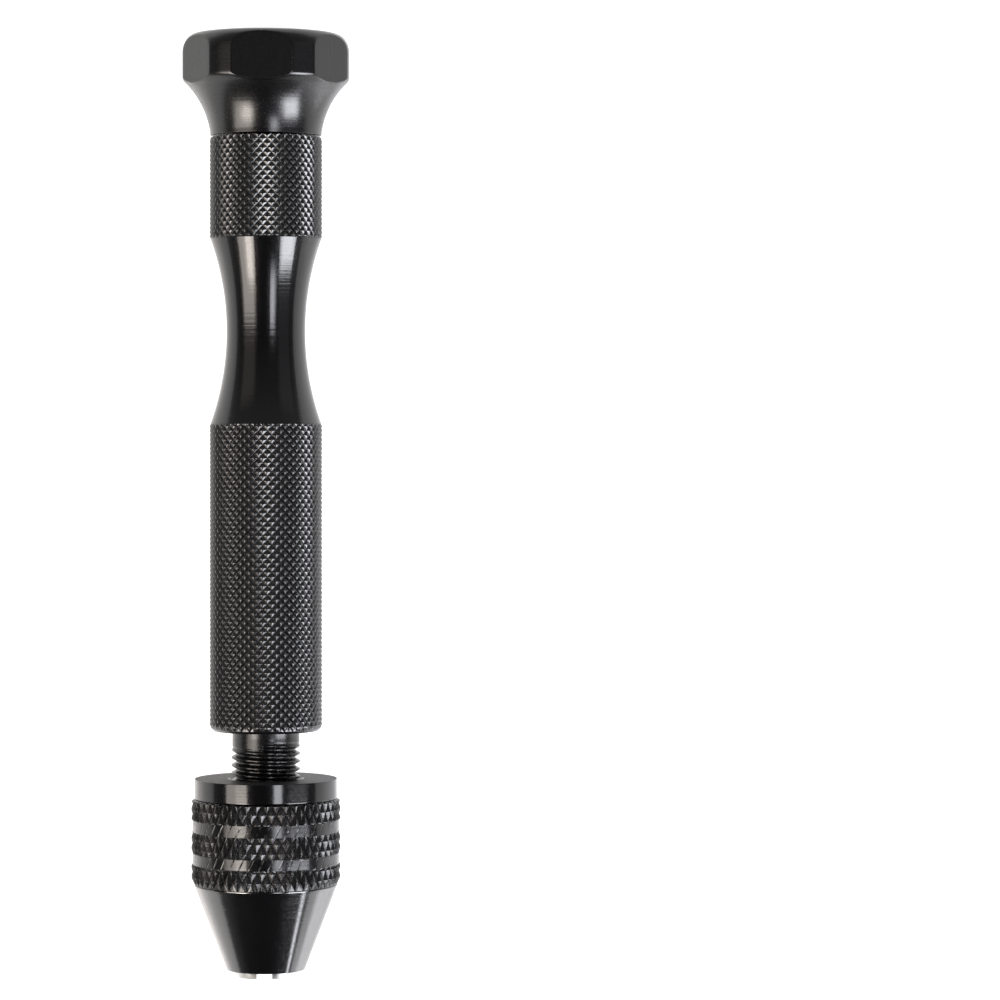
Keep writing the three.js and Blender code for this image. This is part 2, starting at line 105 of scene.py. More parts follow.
# Handle.
SPIGOT_RADIUS = 3.42
SPIGOT_START = TOP - HANDLE_HIGH[1]
SPIGOT_SEAT = 1.2
SPIGOT_GROOVE_RADIUS = 3.0
HANDLE_START = 10.5
HANDLE_END = TOP - HANDLE_LOW[1]
GRIP_RADIUS = (HANDLE_HIGH[0] - HANDLE_LOW[0]) / 2
SMOOTH_RADIUS = 5.65
WAIST_START = 20.8
WAIST_END = 39.7
WAIST_RADIUS = 4.0
STUD_SOCKET_RADIUS = 3.55
STUD_SOCKET_START = 57.1
STUD_SOCKET_POINT = 54.97
GRIP_CHAMFER = 0.4
GRIP_DIAMONDS = 39
GRIP_PITCH = 0.92
GRIP_DEPTH = 0.155
GRIP_CREST = 0.08
GRIP_BULGE = 0.07
GRIP_BEVEL = 0.12

# Stud.
STUD_RADIUS = (STUD_HIGH[0] - STUD_LOW[0]) / 2
STUD_START = TOP - STUD_HIGH[1]
STUD_END = TOP - STUD_LOW[1]
STUD_BORE = 1.8
THREAD_START = 71.9
THREAD_PITCH = 0.79
THREAD_DEPTH = 0.48
NECK_RADIUS = 3.42
NECK_STEP = (HANDLE_END - 0.6, HANDLE_END - 0.4)
STUD_CHAMFER = 0.3
# Steepness of the thread's flanks, and how much of them its flat root takes.
THREAD_FLANK = 1.5
THREAD_ROOT = 0.25
# Rings of the stud's rounded end: back from the end, and in from the crest.
STUD_TAIL = ((0.25, 0.3), (0.0, 0.5))

# Chuck body.
COLLAR_START = TOP - BODY_HIGH[1]
COLLAR_END = 77.85
COLLAR_RADIUS = (BODY_HIGH[0] - BODY_LOW[0]) / 2
JOURNAL_RADIUS = 5.0
JOURNAL_END = 81.6
RING_GROOVE = (80.5, 81.2)
RING_GROOVE_RADIUS = 4.6
BODY_END = TOP - BODY_LOW[1]
BODY_NOSE_RADIUS = 4.4
BODY_SCREW_BORE = 2.55
BODY_THREAD_RADIUS = 3.55
BODY_THREAD_END = 79.45
COUNTERSINK = 0.35

# Sleeve.
SLEEVE_START = TOP - SLEEVE_HIGH[1]
SLEEVE_END = TOP - SLEEVE_LOW[1]
SLEEVE_RADIUS = (SLEEVE_HIGH[0] - SLEEVE_LOW[0]) / 2
SLEEVE_PLAIN_RADIUS = 7.45
PLAIN_BANDS = ((80.0, 81.2), (83.4, 84.5))
SLEEVE_DIAMONDS = 46
SLEEVE_PITCH = 1.96
SLEEVE_DEPTH = 0.26
SLEEVE_CREST = 0.06
SLEEVE_BULGE = 0.09
SLEEVE_BEVEL_SLOPE = 2.5
CUT_DEPTH = 0.03
CUT_WIDTH = 0.09
SLEEVE_LIP_RADIUS = 5.1
SLEEVE_LIP_END = 78.85
CHAMBER_RADIUS = 6.35
NOSE_SOCKET_START = 83.5
NOSE_SOCKET_RADIUS = 6.8

# Nose cone.
NOSE_TAIL_START = TOP - NOSE_HIGH[1]
NOSE_BASE_RADIUS = (NOSE_HIGH[0] - NOSE_LOW[0]) / 2
NOSE_START = 86.65
NOSE_END = TOP - NOSE_LOW[1]
NOSE_TIP_RADIUS = 4.0
NOSE_MOUTH_RADIUS = 3.45
NOSE_RIM = 0.1
NOSE_TAIL_RADIUS = 6.75
NOSE_TAIL_BORE = 6.2
NOSE_SLOPE = (NOSE_BASE_RADIUS - NOSE_TIP_RADIUS) / (NOSE_END - SLEEVE_END)

# Jaws.
JAW_COUNT = 3
JAW_BODIES = ("first_jaw", "second_jaw", "third_jaw")
FIRST_JAW_ANGLE = math.radians(30)
JAW_START = 89.4
JAW_END = TOP - JAW_LOW[1]
JAW_OPENING = 0.85
JAW_CLOSED = 0.15
JAW_LAND = 0.15
JAW_REAR_RADIUS = 4.6
JAW_GAP = 0.05
JAW_HALF_ANGLE = math.radians(60)
JAW_REAR_CHAMFER = 0.1
JAW_CHAMFER = 0.06
TENON_SPAN = (1.05, 3.6)
TENON_NECK = 0.7
TENON_HEAD = 1.3
TENON_START = 87.6
TENON_HEAD_END = 88.4
TENON_GAP = 0.01

# Fineness of the meshes.
ROUND_COLUMNS = 192
THREAD_COLUMNS = 96
THREAD_STEPS = 20
CAP_ROUNDING_STEPS = 16
CAP_TOP_STEPS = 6
CAP_CORNER_STEPS = 6
LAND_STEPS = 8
SKIRT_STEPS = 26
SKIRT_CORNER_REACH = 3
SKIRT_LIP_ROUNDING = 0.08
WAIST_STEPS = 72
BAND_STEPS = 8
BAND_EDGE = 0.01
JAW_STEPS = 14
GRID_MARGIN = 0.02
EDGE_ROUNDING = 0.06

# ---------------------------------------------------------------- mesh helpers

# Edges bent by more degrees than this are shaded sharp. Knurl points stay soft and grooves sharp.
SHARP_ANGLE = 28
KNURL_SHARP_ANGLE = 35


def make_object(name, verts, faces, materials, body, node, pick=None, sharp=SHARP_ANGLE):
    """One piece from vertices in millimetres. pick chooses each face's material from its middle."""
    mesh = bpy.data.meshes.new(name)
    mesh.from_pydata([Vector(v) * MM for v in verts], [], faces)
    tidy = bmesh.new()
    tidy.from_mesh(mesh)
    bmesh.ops.remove_doubles(tidy, verts=tidy.verts, dist=1e-7)
    bmesh.ops.dissolve_degenerate(tidy, edges=tidy.edges, dist=1e-8)
    bmesh.ops.recalc_face_normals(tidy, faces=tidy.faces)
    tidy.to_mesh(mesh)
    tidy.free()
    for material in materials:
        mesh.materials.append(material)
    if pick:
        for polygon in mesh.polygons:
            polygon.material_index = pick(polygon.center / MM, polygon.normal)
    mesh.shade_smooth()
    mesh.set_sharp_from_angle(angle=math.radians(sharp))
    piece = bpy.data.objects.new(name, mesh)
    bpy.context.scene.collection.objects.link(piece)
    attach(piece, body)
    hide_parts(node)
    return piece


def place(station, radius, angle):
    """Point at a station and radius. Angle 0 faces +Z, and a quarter turn faces +X."""
    return (AXIS_X + radius * math.sin(angle), TOP - station, AXIS_Z + radius * math.cos(angle))


def loft(rows, closed=True):
    """Vertices and quads of a stack of rings, each a list of [station, radius, angle]."""
    columns = len(rows[0])
    verts = [place(*point) for row in rows for point in row]
    faces = []
    last = len(rows) if closed else len(rows) - 1
    for j in range(last):
        for i in range(columns):
            a = j * columns + i
            b = j * columns + (i + 1) % columns
            shift = ((j + 1) % len(rows)) * columns - j * columns
            faces.append((a, b, b + shift, a + shift))
    return verts, faces


def ring_row(station, radius, angles):
    return [(station, radius, angle) for angle in angles]


def even_angles(count):
    return [2 * math.pi * i / count for i in range(count)]


# A rounding takes at most this share of a side, and corners flatter than this stay as they are.
LONGEST_ROUNDING = 0.45
FLATTEST_CORNER = math.radians(150)


def fillet(points, radius, steps=3):
    """Rounds the corners of an open outline."""
    out = [points[0]]
    for before, corner, after in zip(points, points[1:], points[2:]):
        here = Vector(corner)
        back = Vector(before) - here
        ahead = Vector(after) - here
        reach = min(radius, back.length * LONGEST_ROUNDING, ahead.length * LONGEST_ROUNDING)
        start = here + back.normalized() * reach
        end = here + ahead.normalized() * reach
        if back.angle(ahead) > FLATTEST_CORNER:
            out.append(tuple(here))
            continue
        for k in range(steps + 1):
            t = k / steps
            point = start.lerp(here, t).lerp(here.lerp(end, t), t)
            out.append(tuple(point))
    out.append(points[-1])
    return out


def hollow_arc(start, end, radius, steps):
    """Arc between two [station, radius] points that sags towards the axis."""
    chord = Vector(end) - Vector(start)
    half = chord.length / 2
    rise = math.sqrt(radius**2 - half**2)
    normal = Vector((-chord.y, chord.x)).normalized()
    centre = (Vector(start) + Vector(end)) / 2 + normal * rise
    first = math.atan2(start[1] - centre.y, start[0] - centre.x)
    sweep = 2 * math.asin(half / radius)
    angles = [first + sweep * k / steps for k in range(steps + 1)]
    return [(centre.x + radius * math.cos(a), centre.y + radius * math.sin(a)) for a in angles]


def with_supports(points, inset):
    """Adds a point near both ends of every long segment, so that smooth shading stays at the corners."""
    out = []
    for start, end in zip(points, points[1:] + points[:1]):
        out.append(start)
        along = Vector(end) - Vector(start)
        if along.length > 4 * inset:
            step = along.normalized() * inset
            out += [tuple(Vector(start) + step), tuple(Vector(end) - step)]
    return out


def turned(name, outline, materials, body, node, pick=None):
    """Piece turned about the axis from a closed outline, with its corners slightly rounded."""
    rounded = with_supports(fillet(outline + outline[:1], EDGE_ROUNDING)[:-1], EDGE_ROUNDING / 2)
    angles = even_angles(ROUND_COLUMNS)
    rows = [ring_row(station, radius, angles) for station, radius in rounded]
    verts, faces = loft(rows)
    return make_object(name, verts, faces, materials, body, node, pick)


# ---------------------------------------------------------------- material helpers

# Grain scales are cycles per metre along X, Y and Z.
TURNED = (30, 4500, 30)
COARSE_TURNED = (60, 2600, 60)
MILLED = (3600, 60, 3600)
GROUND = (900, 900, 5000)
EVEN = (5200, 5200, 5200)
RING_SCALE = 3500
GRIT_DEPTH = 1.5e-6
PATCHES = (900, 900, 900)
COAT_CLOUDS = (220, 220, 220)
METAL_CLOUDS = (300, 300, 300)
FLOOR_CLOUDS = (3, 3, 3)

# The part of a patchy noise over which the wheel cuts fade in and out.
PATCH_FADE = (0.42, 0.58)


def new_material(name):
    material = bpy.data.materials.new(name)
    material.use_nodes = True
    tree = material.node_tree
    return material, tree, tree.nodes["Principled BSDF"]


def add_node(tree, kind, **inputs):
    node = tree.nodes.new(kind)
    for key, value in inputs.items():
        socket = node.inputs[key.replace("_", " ")]
        socket.default_value = value
    return node


def scaled_position(tree, scale):
    """Object position times a scale for each axis."""
    coordinates = tree.nodes.new("ShaderNodeTexCoord")
    mapping = tree.nodes.new("ShaderNodeMapping")
    mapping.inputs["Scale"].default_value = scale
    tree.links.new(coordinates.outputs["Object"], mapping.inputs["Vector"])
    return mapping.outputs["Vector"]


def noise(tree, vector, scale, detail=3.0, roughness=0.55):
    node = add_node(tree, "ShaderNodeTexNoise", Scale=scale, Detail=detail, Roughness=roughness)
    tree.links.new(vector, node.inputs["Vector"])
    return node.outputs["Fac"]


def ramp(tree, factor, low, high, source=(0.3, 0.7)):
    """Stretches the part of a factor that lies in the source range to run between two values."""
    node = tree.nodes.new("ShaderNodeMapRange")
    for socket, number in zip(("From Min", "From Max", "To Min", "To Max"), (*source, low, high)):
        node.inputs[socket].default_value = number
    tree.links.new(factor, node.inputs["Value"])
    return node.outputs["Result"]


def mix_colours(tree, factor, first, second):
    node = tree.nodes.new("ShaderNodeMix")
    node.data_type = "RGBA"
    node.inputs["A"].default_value = (*first, 1)
    node.inputs["B"].default_value = (*second, 1)
    tree.links.new(factor, node.inputs["Factor"])
    return node.outputs["Result"]


def bump(tree, height, distance, strength=1.0, after=None):
    node = add_node(tree, "ShaderNodeBump", Strength=strength, Distance=distance)
    tree.links.new(height, node.inputs["Height"])
    if after:
        tree.links.new(after, node.inputs["Normal"])
    return node.outputs["Normal"]


def maths(tree, operation, first, second):
    """Math node; either input is a socket or a number."""
    node = tree.nodes.new("ShaderNodeMath")
    node.operation = operation
    for socket, value in zip(node.inputs, (first, second)):
        if isinstance(value, (int, float)):
            socket.default_value = value
        else:
            tree.links.new(value, socket)
    return node.outputs["Value"]


def knurl_lattice(tree, count, pitch, origin):
    """Distances to the nearest groove of both hands, 0 in the groove and 0.5 halfway between two."""
    split = tree.nodes.new("ShaderNodeSeparateXYZ")
    tree.links.new(tree.nodes.new("ShaderNodeTexCoord").outputs["Object"], split.inputs["Vector"])
    height = maths(tree, "SUBTRACT", split.outputs["Z"], AXIS_Z * MM)
    angle = maths(tree, "ARCTAN2", split.outputs["X"], height)
    around = maths(tree, "MULTIPLY", angle, count / (2 * math.pi))
    from_origin = maths(tree, "SUBTRACT", split.outputs["Y"], (TOP - origin) * MM)
    along = maths(tree, "MULTIPLY", from_origin, 1 / (pitch * MM))
    hands = [maths(tree, sign, around, along) for sign in ("SUBTRACT", "ADD")]
    return [maths(tree, "PINGPONG", hand, 0.5) for hand in hands]


def wheel_cuts(tree):
    """Height of the fine slanted cuts that the knurling wheel leaves across the sleeve's plain bands."""
    cell, _ = knurl_lattice(tree, SLEEVE_DIAMONDS, SLEEVE_PITCH, SLEEVE_START)
    line = ramp(tree, cell, 0.0, 1.0, (0.0, CUT_WIDTH))
    patches = noise(tree, scaled_position(tree, PATCHES), 1.0, 2.0)
    return maths(tree, "MAXIMUM", line, ramp(tree, patches, 0.0, 1.0, PATCH_FADE))


def facet_bulge(tree, count, pitch, origin):
    """Height that rounds every facet of a rolled knurl between its groove and its point."""
    lattice = knurl_lattice(tree, count, pitch, origin)
    rise = maths(tree, "MULTIPLY", maths(tree, "MINIMUM", *lattice), 2)
    return maths(tree, "MULTIPLY", rise, maths(tree, "SUBTRACT", 1, rise))


def grip_bulge(tree):
    return facet_bulge(tree, GRIP_DIAMONDS, GRIP_PITCH, HANDLE_START)


def sleeve_bulge(tree):
    return facet_bulge(tree, SLEEVE_DIAMONDS, SLEEVE_PITCH, SLEEVE_START)


def from_axis(tree):
    """Distance from the tool's axis, as a vector that rings of tool marks can follow."""
    shifted = tree.nodes.new("ShaderNodeVectorMath")
    shifted.operation = "SUBTRACT"
    shifted.inputs[1].default_value = (AXIS_X * MM, 0, AXIS_Z * MM)
    tree.links.new(scaled_position(tree, (1, 0, 1)), shifted.inputs[0])
    length = tree.nodes.new("ShaderNodeVectorMath")
    length.operation = "LENGTH"
    tree.links.new(shifted.outputs["Vector"], length.inputs[0])
    return length.outputs["Value"]


def coated_metal(name, colours, roughness, grain, grain_depth, ior=1.5, relief=None, rings=False):
    """Dark coated metal. The grain is the tool marks' scale along each axis, the grit the coating's own.

    The relief is a height function and its depth in millimetres.
    """
    material, tree, shader = new_material(name)
    shader.inputs["IOR"].default_value = ior
    if rings:
        marks = noise(tree, from_axis(tree), RING_SCALE, 3.0)
    else:
        marks = noise(tree, scaled_position(tree, grain), 1.0, 3.0)
    grit = noise(tree, scaled_position(tree, EVEN), 1.0, 2.0)
    clouds = noise(tree, scaled_position(tree, COAT_CLOUDS), 1.0, 4.0)
    tree.links.new(mix_colours(tree, clouds, *colours), shader.inputs["Base Color"])
    tree.links.new(ramp(tree, grit, *roughness), shader.inputs["Roughness"])
    surface = bump(tree, marks, grain_depth)
    if relief:
        shape, depth = relief
        surface = bump(tree, shape(tree), depth * MM, after=surface)
    tree.links.new(bump(tree, grit, GRIT_DEPTH, after=surface), shader.inputs["Normal"])
    return material


def bare_metal(name, colours, roughness, grain, grain_depth):
    """Uncoated metal with tool marks."""
    material, tree, shader = new_material(name)
    shader.inputs["Metallic"].default_value = 1.0
    marks = noise(tree, scaled_position(tree, grain), 1.0, 2.0)
    clouds = noise(tree, scaled_position(tree, METAL_CLOUDS), 1.0, 4.0)
    tree.links.new(mix_colours(tree, clouds, *colours), shader.inputs["Base Color"])
    tree.links.new(ramp(tree, marks, *roughness), shader.inputs["Roughness"])
    tree.links.new(bump(tree, marks, grain_depth), shader.inputs["Normal"])
    return material


BLACK = ((0.0012, 0.0012, 0.0014), (0.0028, 0.0027, 0.003))

ANODISED_CAP = coated_metal("anodised_cap", BLACK, (0.2, 0.28), TURNED, 1e-5)
ANODISED_TURNED = coated_metal("anodised_turned", BLACK, (0.13, 0.2), TURNED, 1e-5)
ANODISED_KNURL = coated_metal(
    "anodised_knurl", BLACK, (0.18, 0.28), EVEN, 6e-6, ior=1.6, relief=(grip_bulge, GRIP_BULGE))
ANODISED_MILLED = coated_metal("anodised_milled", BLACK, (0.3, 0.38), MILLED, 1e-5, ior=1.4)
STEEL_BLACK_TURNED = coated_metal(
    "steel_black_turned", BLACK, (0.1, 0.17), TURNED, 4e-6, ior=1.45)
STEEL_BLACK_THREAD = coated_metal(
    "steel_black_thread", BLACK, (0.2, 0.3), COARSE_TURNED, 7e-6, ior=1.4)
STEEL_BLACK_FACED = coated_metal(
    "steel_black_faced", BLACK, (0.45, 0.6), EVEN, 1e-5, ior=1.4, rings=True)
STEEL_BLACK_NOSE = coated_metal(
    "steel_black_nose", BLACK, (0.1, 0.16), TURNED, 1.4e-5, ior=1.9)
STEEL_BLACK_BAND = coated_metal(
    "steel_black_band", BLACK, (0.14, 0.22), TURNED, 4e-6, ior=1.42,
    relief=(wheel_cuts, CUT_DEPTH))
STEEL_BLACK_KNURL = coated_metal(
    "steel_black_knurl", BLACK, (0.18, 0.34), EVEN, 1e-5, ior=1.45,
    relief=(sleeve_bulge, SLEEVE_BULGE))
STEEL_BRIGHT = bare_metal(
    "steel_bright", ((0.42, 0.42, 0.415), (0.58, 0.58, 0.57)), (0.3, 0.44), GROUND, 3e-6)
CAGE_BRASS = bare_metal(
    "cage_brass", ((0.5, 0.36, 0.14), (0.62, 0.46, 0.2)), (0.25, 0.4), EVEN, 3e-6)

# ---------------------------------------------------------------- knurling


def wave(x):
    """Triangle wave: 0 at whole numbers, 1 halfway between them."""
    part = x - math.floor(x)
    return 1 - abs(2 * part - 1)


def diamond(u, v):
    """Height of a diamond knurl, 0 in the grooves and 1 on the points."""
    return min(wave(u + v), wave(u - v))


def cell_steps(crest):
    """Places of the grid lines inside one knurl cell, so that edges of the facets lie on them."""
    return (0.0, crest, 0.5 - crest, 0.5, 0.5 + crest, 1.0 - crest)


def knurl_angles(count, crest):
    steps = cell_steps(crest)
    return [2 * math.pi * (i + step) / count for i in range(count) for step in steps]


def knurl_stations(start, end, pitch, crest, origin):
    """Grid lines across a band, with both its ends. The origin is a row of groove crossings."""
    cells = range(math.floor((start - origin) / pitch), math.ceil((end - origin) / pitch))
    lines = [origin + pitch * (j + step) for j in cells for step in cell_steps(crest)]
    return [start] + [line for line in lines if start + GRID_MARGIN < line < end - GRID_MARGIN] + [end]


def knurled_row(station, radius, angles, count, pitch, origin, depth, crest):
    """One ring of a knurled band. The origin is the station of a row of groove crossings."""
    top = 1 - 2 * crest
    row = []
    for angle in angles:
        height = diamond(angle * count / (2 * math.pi), (station - origin) / pitch)
        row.append((station, radius - depth * (1 - min(height, top) / top), angle))
    return row


def split_quad(radii, a, b, c, d):
    """Two triangles of a quad, folded along the diagonal that a groove or crest follows."""
    forward = (round(abs(radii[a] - radii[c]), 5), radii[a] + radii[c])
    backward = (round(abs(radii[b] - radii[d]), 5), radii[b] + radii[d])
    if forward <= backward:
        return [(a, b, c), (a, c, d)]
    return [(a, b, d), (b, c, d)]


def grid(rows, closed=True):
    """Vertices and faces of stacked rings. Quads that aren't plain are folded."""
    columns = len(rows[0])
    verts = [place(*point) for row in rows for point in row]
    radii = [point[1] for row in rows for point in row]
    plain = [max(p[1] for p in row) - min(p[1] for p in row) < 1e-9 for row in rows]
    faces = []
    for j in range(len(rows) if closed else len(rows) - 1):
        k = (j + 1) % len(rows)
        for i in range(columns):
            n = (i + 1) % columns
            quad = (j * columns + i, j * columns + n, k * columns + n, k * columns + i)
            faces += [quad] if plain[j] and plain[k] else split_quad(radii, *quad)
    return verts, faces


# ---------------------------------------------------------------- swivel cap


def soft_min(a, b, softness):
    overlap = max(softness - abs(a - b), 0) / softness
    return min(a, b) - overlap**2 * softness / 4


FLAT_COLUMNS = (-1, -0.96, -0.85, -0.6, -0.3, 0, 0.3, 0.6, 0.85, 0.96)
LAND_COLUMNS = (0, 0.04, 0.15, 0.35, 0.5, 0.65, 0.85, 0.96)
NARROWEST_FLAT = math.radians(3)


def cap_row(station, radius, has_flats):
    """Ring of the cap whose columns gather at the edges of the six flats."""
    sector = 2 * math.pi / FLAT_COUNT
    wide = math.acos(min(1, CAP_APOTHEM / radius)) if radius > 0 else 0
    half = max(wide, NARROWEST_FLAT)
    offsets = [half * t for t in FLAT_COLUMNS]
    offsets += [half + (sector - 2 * half) * t for t in LAND_COLUMNS]
    row = []
    for k in range(FLAT_COUNT):
        for offset in offsets:
            from_flat = min(abs(offset), sector - offset)
            limit = CAP_APOTHEM / math.cos(from_flat)
            reach = soft_min(radius, limit, EDGE_SOFTNESS) if has_flats else radius
            row.append((station, reach, k * sector + offset))
    return row


def cap_outside():
    turns = [math.pi / 2 * k / CAP_ROUNDING_STEPS for k in range(CAP_ROUNDING_STEPS + 1)]
    bulge = CAP_RADIUS - CAP_TOP_RADIUS
    rounding = [
        (CAP_TOP_ROUNDING * (1 - math.cos(turn)), CAP_TOP_RADIUS + bulge * math.sin(turn))
        for turn in turns]
    land_step = (CAP_LAND_END - CAP_TOP_ROUNDING) / LAND_STEPS
    land = [(CAP_TOP_ROUNDING + land_step * k, CAP_RADIUS) for k in range(1, LAND_STEPS - 1)]
    skirt = hollow_arc(
        (CAP_LAND_END, CAP_RADIUS), (CAP_END - SKIRT_LIP, SKIRT_RADIUS), SKIRT_CURVE, SKIRT_STEPS)
    corner = fillet(
        [land[-1], skirt[0], skirt[SKIRT_CORNER_REACH]], CAP_CORNER_ROUNDING, CAP_CORNER_STEPS)
    flat_top = [(0, CAP_TOP_RADIUS * k / CAP_TOP_STEPS) for k in range(CAP_TOP_STEPS)]
    lip = fillet(
        [skirt[-1], (CAP_END, SKIRT_RADIUS), (CAP_END, CAP_BORE_RADIUS)], SKIRT_LIP_ROUNDING)
    return flat_top + rounding + land + corner[1:-1] + skirt[SKIRT_CORNER_REACH:-1] + lip[:-1]


def cap_inside():
    return [
        (CAP_END, CAP_BORE_RADIUS), (CAP_GROOVE[1], CAP_BORE_RADIUS), (CAP_GROOVE[1], CAP_GROOVE_RADIUS),
        (CAP_GROOVE[0], CAP_GROOVE_RADIUS), (CAP_GROOVE[0], CAP_BORE_RADIUS),
        (CAP_BORE_FLOOR, CAP_BORE_RADIUS), (CAP_BORE_POINT, 0)]


# A face belongs to a flat if it is this close to one: past the land, leaning, inwards, and in degrees.
FLAT_OVERRUN = 1.0
FLAT_LEAN = 0.1
FLAT_DEPTH = 0.1
FLAT_TURN = 1.5


def is_milled(centre, normal):
    """True on the six flats: faces square to the axis, as far out as a flat, and facing one way."""
    across = Vector((centre.x - AXIS_X, centre.z - AXIS_Z))
    if TOP - centre.y > CAP_LAND_END + FLAT_OVERRUN or abs(normal.y) > FLAT_LEAN:
        return False
    sector = 360 / FLAT_COUNT
    turn = math.degrees(math.atan2(normal.x, normal.z)) % sector
    return across.length > CAP_APOTHEM - FLAT_DEPTH and min(turn, sector - turn) < FLAT_TURN


def build_cap():
    rows = [cap_row(station, radius, True) for station, radius in cap_outside()]
    rows += [cap_row(station, radius, False) for station, radius in cap_inside()]
    verts, faces = loft(rows, closed=False)
    make_object(
        "palm_cap_shell", verts, faces, (ANODISED_CAP, ANODISED_MILLED), "palm_cap", "swivel_cap",
        lambda centre, normal: 1 if is_milled(centre, normal) else 0)


# ---------------------------------------------------------------- handle and stud


def grip_rows(start, end, angles):
    rows = []
    for station in knurl_stations(start, end, GRIP_PITCH, GRIP_CREST, HANDLE_START):
        nearest = min(station - start, end - station)
        bevel = max(0.0, GRIP_BEVEL - nearest)
        row = knurled_row(
            station, GRIP_RADIUS, angles, GRIP_DIAMONDS, GRIP_PITCH, HANDLE_START, GRIP_DEPTH,
            GRIP_CREST)
        rows.append([(s, min(r, GRIP_RADIUS - bevel), a) for s, r, a in row])
    return rows


def build_handle():
    angles = knurl_angles(GRIP_DIAMONDS, GRIP_CREST)
    spigot = [
        (SPIGOT_START + SPIGOT_SEAT, 0), (SPIGOT_START, SPIGOT_SEAT), (SPIGOT_START, SPIGOT_RADIUS),
        (CAP_GROOVE[0], SPIGOT_RADIUS), (CAP_GROOVE[0], SPIGOT_GROOVE_RADIUS),
        (CAP_GROOVE[1], SPIGOT_GROOVE_RADIUS), (CAP_GROOVE[1], SPIGOT_RADIUS),
        (HANDLE_START, SPIGOT_RADIUS), (HANDLE_START, GRIP_RADIUS - GRIP_DEPTH)]
    sag = SMOOTH_RADIUS - WAIST_RADIUS
    radius = (((WAIST_END - WAIST_START) / 2) ** 2 + sag**2) / (2 * sag)
    waist = hollow_arc(
        (WAIST_START + GRID_MARGIN, SMOOTH_RADIUS), (WAIST_END - GRID_MARGIN, SMOOTH_RADIUS), radius,
        WAIST_STEPS)
    tail = [
        (HANDLE_END, STUD_SOCKET_RADIUS + GRIP_CHAMFER), (HANDLE_END - GRIP_CHAMFER, STUD_SOCKET_RADIUS),
        (STUD_SOCKET_START, STUD_SOCKET_RADIUS), (STUD_SOCKET_POINT, 0)]
    rows = [ring_row(station, r, angles) for station, r in spigot]
    rows += grip_rows(HANDLE_START, WAIST_START, angles)
    rows += [ring_row(station, r, angles) for station, r in waist]
    grip = grip_rows(WAIST_END, HANDLE_END, angles)
    rows += [[(s, min(r, GRIP_RADIUS - max(0, GRIP_CHAMFER - (HANDLE_END - s))), a) for s, r, a in row]
             for row in grip]
    rows += [ring_row(station, r, angles) for station, r in tail]
    verts, faces = grid(rows, closed=False)

    def is_smooth(centre, _):
        station = TOP - centre.y
        return 0 if WAIST_START < station < WAIST_END or station < HANDLE_START else 1

    make_object(
        "handle_bar", verts, faces, (ANODISED_TURNED, ANODISED_KNURL), "handle", "handle", is_smooth,
        KNURL_SHARP_ANGLE)


def thread_radius(station, angle):
    """V thread with flat root and crest that fades in over its first turn."""
    phase = (station - THREAD_START) / THREAD_PITCH - angle / (2 * math.pi)
    shape = min(1.0, max(0.0, THREAD_FLANK * wave(phase) - THREAD_ROOT))
    fade = min(1.0, max(0.0, phase))
    return NECK_RADIUS + fade * (STUD_RADIUS - THREAD_DEPTH * (1 - shape) - NECK_RADIUS)


def build_stud():
    angles = even_angles(THREAD_COLUMNS)
    step = THREAD_PITCH / THREAD_STEPS
    count = int((STUD_END - STUD_CHAMFER - THREAD_START) / step)
    plain = [
        (STUD_START, STUD_BORE), (STUD_START, STUD_RADIUS - STUD_CHAMFER),
        (STUD_START + STUD_CHAMFER, STUD_RADIUS), (NECK_STEP[0], STUD_RADIUS),
        (NECK_STEP[1], NECK_RADIUS), (THREAD_START, NECK_RADIUS)]
    rows = [ring_row(station, r, angles) for station, r in plain]
    for k in range(1, count + 1):
        station = THREAD_START + k * step
        rows.append([(station, thread_radius(station, a), a) for a in angles])
    rows += [ring_row(STUD_END - back, STUD_RADIUS - inwards, angles) for back, inwards in STUD_TAIL]
    rows.append(ring_row(STUD_END, STUD_BORE, angles))
    verts, faces = grid(rows)
    make_object("stud_thread", verts, faces, (STEEL_BLACK_THREAD,), "handle", "threaded_stud")


# ---------------------------------------------------------------- chuck


# Faces that lean less than this from the axis are the collar's turned back face.
FACE_LEAN = math.radians(25)


def build_chuck_body():
    outline = [
        (COLLAR_START, BODY_THREAD_RADIUS + COUNTERSINK), (COLLAR_START, COLLAR_RADIUS),
        (COLLAR_END, COLLAR_RADIUS), (COLLAR_END, JOURNAL_RADIUS), (RING_GROOVE[0], JOURNAL_RADIUS),
        (RING_GROOVE[0], RING_GROOVE_RADIUS), (RING_GROOVE[1], RING_GROOVE_RADIUS),
        (RING_GROOVE[1], JOURNAL_RADIUS), (JOURNAL_END, JOURNAL_RADIUS), (JOURNAL_END, BODY_NOSE_RADIUS),
        (BODY_END, BODY_NOSE_RADIUS), (BODY_END, BODY_SCREW_BORE), (BODY_THREAD_END, BODY_SCREW_BORE),
        (BODY_THREAD_END, BODY_THREAD_RADIUS), (COLLAR_START + COUNTERSINK, BODY_THREAD_RADIUS)]

    def is_faced(_, normal):
        return 1 if normal.y > math.cos(FACE_LEAN) else 0

    turned(
        "chuck_collar", outline, (STEEL_BLACK_TURNED, STEEL_BLACK_FACED), "handle", "chuck_body",
        is_faced)


